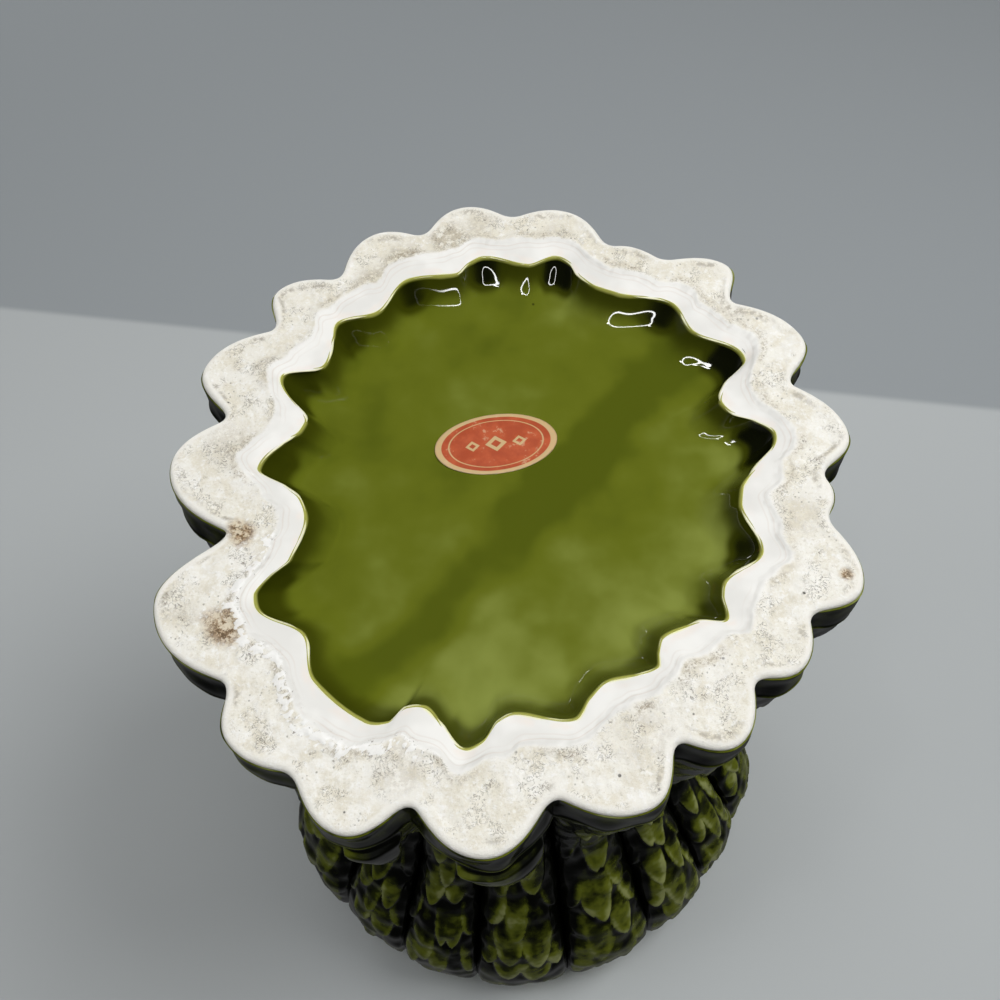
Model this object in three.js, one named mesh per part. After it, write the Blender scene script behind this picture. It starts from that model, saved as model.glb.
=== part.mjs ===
// Asparagus vase: a glazed earthenware vase moulded as a bundle of nineteen spears.
// Millimetres, +Z up. The origin is the centre of the underside, where the unglazed foot
// ring stands. The mouth is at the top, inside the circle of spear tips.

import * as THREE from 'three';

// Driving dimensions of the whole vase
const HEIGHT = 190;
const GAP = 0.3;                 // clearance between two neighbouring solids

// Spears in turn, anticlockwise seen from above, from the one behind and to the left.
// span: share of the circle in degrees. groove: radius of the groove where the spear
// begins. crest: radius of its round outer side. lean: where the crest stands across the
// spear, from 0 to 1. All are measured at the foot.
const FIRST_GROOVE_ANGLE = 94;
const SPEARS = [
  { span: 20, groove: 62.5, crest: 65.5, lean: 0.55 },
  { span: 11.5, groove: 58, crest: 60, lean: 0.4 },
  { span: 15.5, groove: 59.5, crest: 66.5, lean: 0.7 },
  { span: 21.5, groove: 59, crest: 65.5, lean: 0.7 },
  { span: 20.5, groove: 56.5, crest: 63.5, lean: 0.65 },
  { span: 9.5, groove: 56.5, crest: 58.5, lean: 0.45 },
  { span: 18.5, groove: 57, crest: 64.5, lean: 0.6 },
  { span: 15.5, groove: 57.5, crest: 61, lean: 0.6 },
  { span: 17.5, groove: 55.5, crest: 61.5, lean: 0.55 },
  { span: 21.5, groove: 55, crest: 63.5, lean: 0.35 },
  { span: 21.5, groove: 57.5, crest: 66.5, lean: 0.45 },
  { span: 17.5, groove: 59.5, crest: 68, lean: 0.4 },
  { span: 17, groove: 63, crest: 66, lean: 0.65 },
  { span: 27.5, groove: 59.5, crest: 66.5, lean: 0.7 },
  { span: 28, groove: 49, crest: 61, lean: 0.55 },
  { span: 23, groove: 53, crest: 63.5, lean: 0.35 },
  { span: 17, groove: 56, crest: 63.5, lean: 0.35 },
  { span: 19.5, groove: 57, crest: 64.5, lean: 0.5 },
  { span: 17.5, groove: 60, crest: 66.5, lean: 0.45 },
];

// Foot: a flat unglazed ring, bevelled on its inner side up to the glaze line
const FLANGE_HEIGHT = 2.5;
const FLANGE_EDGE = 0.8;
const RECESS_DEPTH = 7;
const BEVEL_WIDTH = 5;
const BEVEL_DEPTH = 1.2;
const RECESS_WALL_SLOPE = 3;     // how far the recess draws in up to the floor
const FLOOR_TOP = 11;

// Glaze line inside the foot ring: the points that its wave goes through, as angle and radius
const GLAZE_LINE = [
  [0, 40.5], [5.5, 46], [14, 42.5], [17.5, 40.3], [20.5, 40], [31, 49.6], [38.5, 44],
  [46, 47.3], [50, 49.7], [59, 46.9], [70, 51.6], [81, 49.9], [84.5, 52.3], [88, 53.6],
  [98, 51.3], [104.5, 54.3], [108, 53], [111, 50.2], [116, 48.6], [121, 48.8], [133, 52.6],
  [141.5, 50], [152, 54], [154, 53.6], [158, 47], [162, 44.3], [165, 45], [168.5, 48.6],
  [173, 51.4], [187, 43.3], [191, 43.1], [202.5, 48], [212.5, 44], [215.5, 44.7], [220, 47.4],
  [225, 43.6], [232.5, 41.5], [236, 43], [238.5, 44.9], [249.5, 42.9], [254.5, 44.5],
  [259, 47.2], [270.5, 44.8], [274, 46], [277, 49.6], [280, 51], [289.5, 45.5], [293, 46.6],
  [295, 49.8], [299, 51.3], [312, 50.2], [321, 46.1], [331.5, 50.1], [334.5, 49.4], [337, 46],
  [339, 41.8], [351, 37], [356, 37.8], [360, 40.5],
];

// Inner wall: the vessel that the spears stand round, waisted half way up
const WALL_THICKNESS = 3.5;
const WALL_BOTTOM = FLOOR_TOP + GAP;
const WALL_TOP = 176;
const WALL_PROFILE = [
  [0, 54.5], [WALL_BOTTOM, 54.5], [22, 51.5], [38, 47.5], [58, 43.5], [78, 40.5], [96, 39.8],
  [112, 43], [128, 48.5], [144, 54.5], [160, 58.8], [WALL_TOP, 59.5], [HEIGHT, 57],
];
const GROOVE_WALL = 4.2;         // spear material left at the bottom of a groove
const IRREGULAR_TO = 12;         // the foot's uneven outline holds up to here
const REGULAR_FROM = 40;         // and has mostly evened out from here
const EVENED_SHARE = 0.25;

// Spears: how far each stands out from its grooves, by height. The cut butt end is a
// little thicker than the stalk above it.
const BUTT_TOP = 8.5;
const SPEAR_DEPTH = [
  [0, 6.7], [BUTT_TOP, 6.9], [WALL_BOTTOM, 6], [22, 7.2], [96, 7], [112, 8], [128, 9.6],
  [144, 10.8], [160, 11], [WALL_TOP, 10.5], [HEIGHT, 8],
];
// How far the grooves are filled out, as a share of their depth: the cut ends run together,
// and so do the tips
const GROOVE_FILL = [
  [0, 0], [FLANGE_HEIGHT, 0], [BUTT_TOP, 0.7], [WALL_BOTTOM, 0.3], [22, 0], [120, 0],
  [142, 0.3], [160, 0.7], [WALL_TOP, 0.85], [HEIGHT, 0.85],
];
const SPEAR_ROUNDNESS = 2.1;
const FOOT_FULLNESS = 1.25;      // power of the arch across a spear: pointed grooves at the foot
const STALK_FULLNESS = 0.5;      // and round stalks from the regular height up
const TWIST = -6;                // degrees that a tip stands round from its butt
const SPREAD_SHARE = 0.15;       // how far the tips have moved to equal shares of the circle
const FIRST_SCALE = 112;         // height where the overlapping scales of the tips begin
const SCALE_PITCH = 16;
const SCALE_TIERS = 4;
const SCALE_LIFT = 1.7;
const SCALE_STEP = 1.5;          // height over which a scale's free edge steps back
const SCALE_STAGGER = 0.3;       // share of the pitch between neighbouring columns of scales
const TIP_SECTIONS = [
  { below: 9, size: 0.93 },
  { below: 4.5, size: 0.76 },
  { below: 1.5, size: 0.5 },
  { below: 0, size: 0.22 },
];
const TIP_CENTRE_RADIUS = 62;

// Label: a plain oval of paper on the underside of the floor
const LABEL = { length: 24, width: 14, thickness: 0.3, x: 1.3, y: 10.6, turn: -5.3 };

// Facets
const OUTER_POINTS = 8;
const BACK_POINTS = 4;
const FOOT_STEPS = 8;            // facets of one spear's share of the foot ring
const WALL_STEPS = 3;
const LABEL_POINTS = 32;

// Colours and finishes
const GREEN_GLAZE = { color: 0x4f5a1c, roughness: 0.12, metalness: 0 };
const DARK_GLAZE = { color: 0x39431a, roughness: 0.15, metalness: 0 };
const BISQUE = { color: 0xe9e6de, roughness: 0.85, metalness: 0 };
const PAPER = { color: 0xb5452a, roughness: 0.6, metalness: 0 };

const radians = (degrees) => THREE.MathUtils.degToRad(degrees);
const mix = THREE.MathUtils.lerp;

/** Value of a table at a height or an angle, with straight lines between its rows. */
function read(table, place) {
  const last = table.length - 1;
  if (place <= table[0][0]) return table[0][1];
  for (let i = 0; i < last; i += 1) {
    const [low, a] = table[i];
    const [high, b] = table[i + 1];
    if (place <= high) return mix(a, b, (place - low) / (high - low));
  }
  return table[last][1];
}

// Each spear's first and last angle at the foot and, shared out evenly, at the tips
const total = SPEARS.length;
let angle = FIRST_GROOVE_ANGLE;
const spears = SPEARS.map((spear, index) => {
  const from = angle;
  angle += spear.span;
  const nextGroove = SPEARS[(index + 1) % total].groove;
  return { ...spear, from, to: angle, nextGroove, index };
});
const share = 360 / total;
const meanStart = spears.reduce((sum, spear) => sum + spear.from - share * spear.index, 0) / total;
const evenAngle = (index) => meanStart + share * index;
const meanGroove = SPEARS.reduce((sum, spear) => sum + spear.groove, 0) / total;
const meanCrest = SPEARS.reduce((sum, spear) => sum + spear.crest, 0) / total;

/** How far up a height is from the uneven foot to the regular stalks, from 0 to 1. */
function regularity(height) {
  return THREE.MathUtils.smoothstep(height, IRREGULAR_TO, REGULAR_FROM);
}

/** How much of the foot's uneven outline is left at a height, from 1 down to its share. */
function unevenness(height) {
  return mix(1, EVENED_SHARE, regularity(height));
}

/** Angle in radians at a place across a spear, from 0 to 1, at a height. */
function angleAt(spear, across, height) {
  const rise = THREE.MathUtils.smoothstep(height, 0, FIRST_SCALE);
  const start = mix(spear.from, evenAngle(spear.index), SPREAD_SHARE * rise);
  const end = mix(spear.to, evenAngle(spear.index + 1), SPREAD_SHARE * rise);
  return radians(mix(start, end, across) + TWIST * rise);
}

/** Radius of the surface that the spears stand on. */
function backing(spear, across, height) {
  const groove = mix(spear.groove, spear.nextGroove, across);
  return read(WALL_PROFILE, height) + unevenness(height) * (groove - meanGroove);
}

/** Arch of a spear across its width: 0 in the grooves and 1 on the crest. */
function bulge(spear, across, height) {
  const crest = mix(spear.lean, 0.5, regularity(height));
  const side = across < crest ? 1 - across / crest : (across - crest) / (1 - crest);
  const fullness = mix(FOOT_FULLNESS, STALK_FULLNESS, regularity(height));
  return Math.max(0, 1 - side ** SPEAR_ROUNDNESS) ** fullness;
}

/** How far a spear stands out from the line between its two grooves. */
function depthOf(spear, height) {
  const taller = spear.crest - meanCrest - (mix(spear.groove, spear.nextGroove, 0.5) - meanGroove);
  return read(SPEAR_DEPTH, height) + unevenness(height) * taller;
}

/** How far out the groove where a spear begins is filled, towards its lower neighbour's crest. */
function filledOut(index, height) {
  const spear = spears[index % total];
  const before = spears[(index + total - 1) % total];
  const crests = [spear, before].map((one) => backing(one, 0.5, height) + depthOf(one, height));
  return read(GROOVE_FILL, height) * (Math.min(...crests) - backing(spear, 0, height));
}

/** Radius of a spear's outer side. */
function outside(spear, across, height) {
  const arch = bulge(spear, across, height);
  const fill = mix(filledOut(spear.index, height), filledOut(spear.index + 1, height), across);
  const valley = backing(spear, across, height) + GROOVE_WALL;
  return valley + mix(fill, depthOf(spear, height), arch);
}

/** Closed solid through rings of points that all have the same count, first ring lowest. */
function solidThrough(rings, closed) {
  const count = rings[0].length;
  const positions = rings.flat().flatMap((point) => [point.x, point.y, point.z]);
  const faces = [];
  const loops = closed ? rings.length : rings.length - 1;
  for (let i = 0; i < loops; i += 1) {
    const below = i * count;
    const above = ((i + 1) % rings.length) * count;
    for (let j = 0; j < count; j += 1) {
      const next = (j + 1) % count;
      faces.push(below + j, below + next, above + next, below + j, above + next, above + j);
    }
  }
  if (!closed) {
    const top = (rings.length - 1) * count;
    const flat = (ring) => ring.map((point) => new THREE.Vector2(point.x, point.y));
    for (const [a, b, c] of THREE.ShapeUtils.triangulateShape(flat(rings[0]), [])) {
      faces.push(a, c, b);
    }
    for (const [a, b, c] of THREE.ShapeUtils.triangulateShape(flat(rings.at(-1)), [])) {
      faces.push(top + a, top + b, top + c);
    }
  }
  const geometry = new THREE.BufferGeometry();
  geometry.setAttribute('position', new THREE.Float32BufferAttribute(positions, 3));
  geometry.setIndex(faces);
  geometry.computeVertexNormals();
  return geometry;
}

const polar = (radius, turn, height) => new THREE.Vector3(
  radius * Math.cos(turn), radius * Math.sin(turn), height,
);

function mesh(name, geometry, finish) {
  const piece = new THREE.Mesh(geometry, new THREE.MeshStandardMaterial(finish));
  piece.name = name;
  return piece;
}

/** Heights of a spear's sections: along the shaft, then in pairs at each tier of scales. */
function sectionHeights() {
  const shaft = [FLANGE_HEIGHT + GAP, BUTT_TOP, WALL_BOTTOM, 22, 38, 58, 78, 96];
  const heights = shaft.map((height) => ({ height, lift: 0, stagger: 0 }));
  for (let tier = 0; tier < SCALE_TIERS; tier += 1) {
    const start = FIRST_SCALE + tier * SCALE_PITCH;
    const edge = start + SCALE_PITCH - SCALE_STEP;
    heights.push({ height: start, lift: 0, stagger: 1 });
    heights.push({ height: edge, lift: SCALE_LIFT, stagger: 1 });
  }
  return heights;
}

/** One section of a spear: its round outer side, then its back against the wall. */
function spearSection(spear, { height, lift, stagger }) {
  const points = [];
  const halfGap = GAP / 2;
  for (let i = 0; i < OUTER_POINTS; i += 1) {
    const across = i / (OUTER_POINTS - 1);
    const outerColumn = Math.abs(across - 0.5) > 1 / 6;
    const shift = stagger * SCALE_STAGGER * SCALE_PITCH;
    const level = outerColumn ? height - shift / 2 : height + shift / 2;
    const radius = outside(spear, across, level) + lift * bulge(spear, across, level);
    const inset = (halfGap * (1 - 2 * across)) / radius;
    points.push(polar(radius, angleAt(spear, across, level) + inset, level));
  }
  for (let i = 0; i < BACK_POINTS; i += 1) {
    const across = 1 - i / (BACK_POINTS - 1);
    const radius = backing(spear, across, height) + GAP;
    const inset = (halfGap * (1 - 2 * across)) / radius;
    points.push(polar(radius, angleAt(spear, across, height) + inset, height));
  }
  return points;
}

/** A spear: a round-sided rod against the wall, which ends in a scaly, blunt tip. */
function spearGeometry(spear) {
  const rings = sectionHeights().map((section) => spearSection(spear, section));
  const base = spearSection(spear, { height: WALL_TOP, lift: 0, stagger: 0 });
  rings.push(base);
  const centre = polar(TIP_CENTRE_RADIUS, angleAt(spear, 0.5, HEIGHT), 0);
  for (const { below, size } of TIP_SECTIONS) {
    rings.push(base.map((point) => {
      const section = new THREE.Vector3(point.x, point.y, 0).lerp(centre, 1 - size);
      return section.setZ(HEIGHT - below);
    }));
  }
  return solidThrough(rings, false);
}

/** Calls back for each facet of the circle, spear by spear, and returns what it gets. */
function aroundSpears(steps, make) {
  return spears.flatMap((spear) => (
    Array.from({ length: steps }, (_, i) => make(spear, i / steps))
  ));
}

/** Radius of the glaze line at an angle. */
function glazeLine(turn) {
  return read(GLAZE_LINE, THREE.MathUtils.euclideanModulo(THREE.MathUtils.radToDeg(turn), 360));
}

/** Foot ring: flat underneath, with a bevel and the recess wall inside it. */
function footRingGeometry() {
  const rings = aroundSpears(FOOT_STEPS, (spear, across) => {
    const turn = angleAt(spear, across, 0);
    const edge = outside(spear, across, 0);
    const neck = backing(spear, across, 0);
    const glaze = glazeLine(turn);
    const section = [
      [edge - FLANGE_EDGE, 0],
      [glaze + BEVEL_WIDTH, 0],
      [glaze, BEVEL_DEPTH],
      [glaze - RECESS_WALL_SLOPE, RECESS_DEPTH],
      [neck, RECESS_DEPTH],
      [neck, FLANGE_HEIGHT],
      [edge, FLANGE_HEIGHT],
      [edge, FLANGE_EDGE],
    ];
    return section.map(([radius, height]) => polar(radius, turn, height));
  });
  return solidThrough(rings, true);
}

/** Floor: a disc over the recess, out to where the spears begin. */
function floorGeometry() {
  const outline = (height) => aroundSpears(FOOT_STEPS, (spear, across) => (
    polar(backing(spear, across, 0), angleAt(spear, across, 0), height)
  ));
  return solidThrough([outline(RECESS_DEPTH + GAP), outline(FLOOR_TOP)], false);
}

/** Wall: a waisted tube, open at the mouth, on the floor. */
function wallGeometry() {
  const heights = WALL_PROFILE.map(([height]) => height)
    .filter((height) => height >= WALL_BOTTOM && height <= WALL_TOP);
  const rings = aroundSpears(WALL_STEPS, (spear, across) => {
    const section = (inset) => (height) => polar(
      backing(spear, across, height) - inset, angleAt(spear, across, height), height,
    );
    return [
      ...heights.map(section(0)),
      ...heights.toReversed().map(section(WALL_THICKNESS)),
    ].toReversed();
  });
  return solidThrough(rings, true);
}

/** Label: an oval standing off the floor by the gap. */
function labelGeometry() {
  const oval = new THREE.Shape();
  oval.absellipse(0, 0, LABEL.length / 2, LABEL.width / 2, 0, 2 * Math.PI, false, 0);
  return new THREE.ExtrudeGeometry(oval, {
    depth: LABEL.thickness, bevelEnabled: false, curveSegments: LABEL_POINTS,
  });
}

const vase = new THREE.Group();
vase.add(mesh('foot_ring', footRingGeometry(), BISQUE));
vase.add(mesh('vessel_floor', floorGeometry(), GREEN_GLAZE));
vase.add(mesh('vessel_wall', wallGeometry(), DARK_GLAZE));
for (const spear of spears) {
  const number = String(spear.index + 1).padStart(2, '0');
  vase.add(mesh(`spear_${number}`, spearGeometry(spear), GREEN_GLAZE));
}
const label = mesh('label', labelGeometry(), PAPER);
label.position.set(LABEL.x, LABEL.y, RECESS_DEPTH - LABEL.thickness);
label.rotation.z = radians(LABEL.turn);
vase.add(label);

export default vase;
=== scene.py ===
"""Asparagus vase: a glazed vase moulded as a bundle of spears, seen from under its foot.

Tables and named sizes are in millimetres and degrees, and meshes are made in metres. The vase
stands upright on the origin with its mouth at the top. Angles run anticlockwise seen from above.
"""

import math

import bpy
import numpy as np
from mathutils import Matrix


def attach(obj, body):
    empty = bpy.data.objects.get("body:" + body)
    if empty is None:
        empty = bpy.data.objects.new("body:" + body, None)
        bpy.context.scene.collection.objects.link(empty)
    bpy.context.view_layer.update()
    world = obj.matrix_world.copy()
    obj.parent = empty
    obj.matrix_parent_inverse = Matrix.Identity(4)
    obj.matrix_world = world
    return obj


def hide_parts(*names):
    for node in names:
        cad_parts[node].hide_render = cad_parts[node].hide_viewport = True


bl_info = {
    "name": "Asparagus Vase",
    "version": (1, 0, 0),
    "blender": (4, 5, 0),
    "location": "3D View > Sidebar > Vase",
    "description": "Glazed vase moulded as a bundle of asparagus spears",
    "category": "Add Mesh",
}

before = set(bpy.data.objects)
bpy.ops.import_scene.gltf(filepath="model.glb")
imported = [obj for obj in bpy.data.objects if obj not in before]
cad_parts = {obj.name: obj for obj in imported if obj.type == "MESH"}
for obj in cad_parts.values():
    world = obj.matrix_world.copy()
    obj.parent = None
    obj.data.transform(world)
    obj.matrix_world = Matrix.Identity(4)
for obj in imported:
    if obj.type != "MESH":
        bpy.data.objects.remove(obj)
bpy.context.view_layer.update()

MM = 0.001
HEIGHT = 190

# Spears in turn from the one behind and to the left: share of the circle, radius of the groove
# where the spear begins, radius of its crest, and where the crest stands across it, at the foot
FIRST_GROOVE_ANGLE = 94
SPEARS = [
    (20, 62.5, 65.5, 0.55), (11.5, 58, 60, 0.4), (15.5, 59.5, 66.5, 0.7), (21.5, 59, 65.5, 0.7),
    (20.5, 56.5, 63.5, 0.65), (9.5, 56.5, 58.5, 0.45), (18.5, 57, 64.5, 0.6),
    (15.5, 57.5, 61, 0.6), (17.5, 55.5, 61.5, 0.55), (21.5, 55, 63.5, 0.35),
    (21.5, 57.5, 66.5, 0.45), (17.5, 59.5, 68, 0.4), (17, 63, 66, 0.65), (27.5, 59.5, 66.5, 0.7),
    (28, 49, 61, 0.55), (23, 53, 63.5, 0.35), (17, 56, 63.5, 0.35), (19.5, 57, 64.5, 0.5),
    (17.5, 60, 66.5, 0.45),
]
SPAN, GROOVE, CREST, LEAN = np.array(SPEARS).T
TOTAL = len(SPEARS)
START = FIRST_GROOVE_ANGLE + np.concatenate([[0], np.cumsum(SPAN)[:-1]])
NEXT_GROOVE = np.roll(GROOVE, -1)
EVEN_SHARE = 360 / TOTAL
EVEN_START = np.mean(START - EVEN_SHARE * np.arange(TOTAL))

# Glaze line inside the foot ring: the points that its wave goes through, as angle and radius
GLAZE_LINE = [
    (0, 40.5), (5.5, 46), (14, 42.5), (17.5, 40.3), (20.5, 40), (31, 49.6), (38.5, 44), (46, 47.3),
    (50, 49.7), (59, 46.9), (70, 51.6), (81, 49.9), (84.5, 52.3), (88, 53.6), (98, 51.3),
    (104.5, 54.3), (108, 53), (111, 50.2), (116, 48.6), (121, 48.8), (133, 52.6), (141.5, 50),
    (152, 54), (154, 53.6), (158, 47), (162, 44.3), (165, 45), (168.5, 48.6), (173, 51.4),
    (187, 43.3), (191, 43.1), (202.5, 48), (212.5, 44), (215.5, 44.7), (220, 47.4), (225, 43.6),
    (232.5, 41.5), (236, 43), (238.5, 44.9), (249.5, 42.9), (254.5, 44.5), (259, 47.2),
    (270.5, 44.8), (274, 46), (277, 49.6), (280, 51), (289.5, 45.5), (293, 46.6), (295, 49.8),
    (299, 51.3), (312, 50.2), (321, 46.1), (331.5, 50.1), (334.5, 49.4), (337, 46), (339, 41.8),
    (351, 37), (356, 37.8),
]

# Inner wall, groove bottoms and how far a spear stands out of them, by height
WALL_BOTTOM = 11.3
WALL_TOP = 176
WALL_THICKNESS = 3.5
WALL_PROFILE = [
    (0, 54.5), (WALL_BOTTOM, 54.5), (22, 51.5), (38, 47.5), (58, 43.5), (78, 40.5), (96, 39.8),
    (112, 43), (128, 48.5), (144, 54.5), (160, 58.8), (WALL_TOP, 59.5), (HEIGHT, 57),
]
GROOVE_WALL = 4.2
BUTT_TOP = 8.5
SPEAR_DEPTH = [
    (0, 6.7), (BUTT_TOP, 6.9), (WALL_BOTTOM, 6), (22, 7.2), (96, 7), (112, 8), (128, 9.6),
    (144, 10.8), (160, 11), (WALL_TOP, 10.5), (HEIGHT, 8),
]
GROOVE_FILL = [
    (0, 0), (2.5, 0), (BUTT_TOP, 0.2), (WALL_BOTTOM, 0.1), (22, 0), (120, 0), (142, 0.3),
    (160, 0.7), (WALL_TOP, 0.85), (HEIGHT, 0.85),
]
IRREGULAR_TO = 12
REGULAR_FROM = 40
EVENED_SHARE = 0.25
SPEAR_ROUNDNESS = 2.1
FOOT_FULLNESS = 1.25
STALK_FULLNESS = 0.5
TWIST = -6
SPREAD_SHARE = 0.15
TWISTED_BY = 112

# Scales on the tips: their tiers, and the columns of every other tier as shares of a spear's width
SCALE_TIERS = 8
FIRST_TIER = 86
SCALE_PITCH = 12
SCALE_LENGTH = 29
SCALE_HALF_WIDTH = 0.22
SCALE_COLUMNS = ((-0.24, 0.21), (-0.44, -0.02, 0.45))
BRACT_BASES = (13.5, 40, 64, 86)
# Bracts that show from under the foot, by spear: centre, base, half width, length, lift, bluntness
EXTRA_BRACTS = {10: [(-3.2, -4, 8.5, 31, 4.4, 3.2)], 11: [(-4.5, -4, 5, 28, 3.4, 3.0)]}
TIP_CREST_RADIUS = 70
TIP_CENTRE_RADIUS = 62
TIP_START = 170
TIP_FULLNESS = (2.3, 0.62)
TIP_LIMIT = 0.05

# Glaze on the spears starts just above the rounded edge of the bare foot
GLAZE_START = 1.25
OVERLAP = 0.05

# Foot ring, from its rounded outer edge in to the glaze line
FOOT_POINTS = 1440
LOWEST = 0.03
RIM_INSET = 0.1
RIM_HEIGHT = 0.08
RIM_ROUND = 1.2
NOTCH_ROUND = 1.6
RIDGE_OFFSET = 5.3
RIDGE_SPREAD = 5
BAND_LIFT = 0.28
BEVEL_START = 0.6
BEVEL_END = 1.5
FLANGE_TOP = 2.4
RIDGE_ROWS = ((0.1, 0.12), (-0.3, 0.16), (-0.6, 0.28), (-0.9, 0.45), (-1.2, 0.54))
TUCKED_ROWS = ((0.0, BEVEL_END + 0.3), (-0.6, 2.8), (-2.0, 5.0), (-6.0, 4.6))
CRUST_HEIGHT = 0.22
CRUST_FROM_RIDGE = 0.9
CRUST_WIDTH = 1.4
CRUST_ARC = (283, 292, 344, 352)
CRUST_ELSEWHERE = 0.12

# Recess: where its section starts at the glaze line, and how far in it has levelled out
RECESS_POINTS = 1080
RECESS_START = 1.45
RECESS_REACH = 9.5
RECESS_CURVE = 8.6
RECESS_POWER = 2.2
FLOOR_RADIUS_MEAN = 47.6
FLOOR_TOP = 11
FLOOR_SIDE_TOP = 7.6
LIP_ROWS = ((0.1, 1.36), (0.25, 1.36), (0.32, 1.44), (0.3, 1.7), (-0.3, 3.5))
LOBE_SPREAD = 10
LOBE_DEPTH = 0.25

# Unevenness of each surface: height in millimetres, wavelength and seed
RIDGE_WANDER = (0.45, 9.0, 3)
BAND_LUMPS = (0.09, 5.0, 5)
BAND_GRIT = (0.05, 1.6, 6)
RIDGE_GRIT = (0.05, 1.4, 8)
BEVEL_LUMPS = (0.05, 6.0, 9)
CRUST_BITS = (1.0, 2.6, 11)
CRUST_CRUMBS = (0.7, 0.9, 12)
FLOOR_WAVES = (1.0, 17.0, 21)
LABEL_WAVES = (0.03, 6.0, 31)
SCALE_SEED = 100
LUMP_SEED = 200
VEIN_SEED = 300

LABEL_CENTRE = (1.3, 10.6)
LABEL_TURN = -5.3

# Camera: under the foot, looking up along the vase from the front
CAMERA_PITCH = 61
CAMERA_ROLL = 3
CAMERA_PLACE = (1.1, -93.4, -158.0)
TABLE_HEIGHT = HEIGHT
RING_LAMP_RADIUS = 115
RING_LAMP_TUBE = 8
RING_LAMP_BACK = 150
RING_LAMP_STRENGTH = 30
# Where the table ends in the picture: its line's distance and slant
WALL_LINE = 169.4
WALL_SLANT = 0.193
# Lamps: name, place, target, size, power in watts, and whether the glaze mirrors it
LAMPS = [
    ("key", (-330, 40, -520), (0, 0, 0), 340, 2.9, False),
    ("fill", (420, -60, -360), (0, 0, 30), 300, 0.6, False),
    ("sky", (0, 100, -1300), (0, 0, 0), 1000, 5.6, False),
    ("spot", (70, -60, -320), (0, 0, 0), 22, 0.05, True),
    ("rear", (500, 900, 120), (0, 0, 90), 400, 4, True),
    ("upper", (-500, -300, 1300), (0, 0, 90), 1200, 6, False),
]
BACKGROUND_STRENGTH = 0.45
STAGE_HALF = 4000


class VaseSizes(bpy.types.PropertyGroup):
    """Sizes of the vase that a user would change."""

    scale_lift: bpy.props.FloatProperty(
        name="Scale lift", description="How far the free end of a scale stands out",
        default=1.3 * MM, unit="LENGTH",
    )
    bract_lift: bpy.props.FloatProperty(
        name="Bract lift", description="How far a bract on a stalk stands out",
        default=1.25 * MM, unit="LENGTH",
    )
    floor_height: bpy.props.FloatProperty(
        name="Recess depth", description="Height of the recessed floor over the foot",
        default=7 * MM, unit="LENGTH",
    )
    label_length: bpy.props.FloatProperty(
        name="Label length", description="Length of the oval label",
        default=24 * MM, unit="LENGTH",
    )
    label_width: bpy.props.FloatProperty(
        name="Label width", description="Width of the oval label",
        default=13.6 * MM, unit="LENGTH",
    )


class VaseColours(bpy.types.PropertyGroup):
    """Colours of the vase's finishes."""

    glaze: bpy.props.FloatVectorProperty(
        name="Glaze", description="Green glaze of even thickness",
        default=(0.112, 0.132, 0.010), subtype="COLOR",
    )
    pooled: bpy.props.FloatVectorProperty(
        name="Pooled glaze", description="Glaze where it has run together",
        default=(0.004, 0.0048, 0.001), subtype="COLOR",
    )
    thin: bpy.props.FloatVectorProperty(
        name="Thin glaze", description="Glaze where it has run off an edge",
        default=(0.21, 0.235, 0.05), subtype="COLOR",
    )
    bisque: bpy.props.FloatVectorProperty(
        name="Bisque", description="Bare fired clay",
        default=(0.82, 0.80, 0.735), subtype="COLOR",
    )
    paper: bpy.props.FloatVectorProperty(
        name="Label paper", description="Ground of the label",
        default=(0.36, 0.055, 0.013), subtype="COLOR",
    )
    border: bpy.props.FloatVectorProperty(
        name="Label border", description="Border and ornament of the label",
        default=(0.56, 0.40, 0.19), subtype="COLOR",
    )
    table: bpy.props.FloatVectorProperty(
        name="Table", description="Pale table and floor",
        default=(0.505, 0.53, 0.535), subtype="COLOR",
    )
    backdrop: bpy.props.FloatVectorProperty(
        name="Backdrop", description="Grey behind the table",
        default=(0.345, 0.37, 0.385), subtype="COLOR",
    )


# Shapes


def smooth(x, low, high):
    """Smooth step of x from 0 at low to 1 at high."""
    t = np.clip((np.asarray(x, float) - low) / (high - low), 0, 1)
    return t * t * (3 - 2 * t)


def mix(a, b, t):
    return a + (b - a) * t


def read(table, x):
    """Smooth curve through the rows of a table: cubic pieces that don't overshoot a row."""
    places, values = np.array(table, float).T
    x = np.clip(x, places[0], places[-1])
    step = np.diff(places)
    rise = np.diff(values) / step
    same = rise[:-1] * rise[1:] > 0
    total = np.where(same, rise[:-1] + rise[1:], 1)
    inner = np.where(same, 2 * rise[:-1] * rise[1:] / total, 0)
    slope = np.concatenate([[rise[0]], inner, [rise[-1]]])
    k = np.clip(np.searchsorted(places, x, side="right") - 1, 0, len(step) - 1)
    t = (x - places[k]) / step[k]
    start = values[k] * (1 + 2 * t) * (1 - t) ** 2 + slope[k] * step[k] * t * (1 - t) ** 2
    end = values[k + 1] * t * t * (3 - 2 * t) - slope[k + 1] * step[k] * t * t * (1 - t)
    return start + end


def wave(points, angle):
    """Radius at an angle: the smooth curve through a table that goes round the circle."""
    places = np.array(points, float)
    turn = np.array([360.0, 0.0])
    return read(np.concatenate([places[-2:] - turn, places, places[:2] + turn]), angle % 360)


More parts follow.
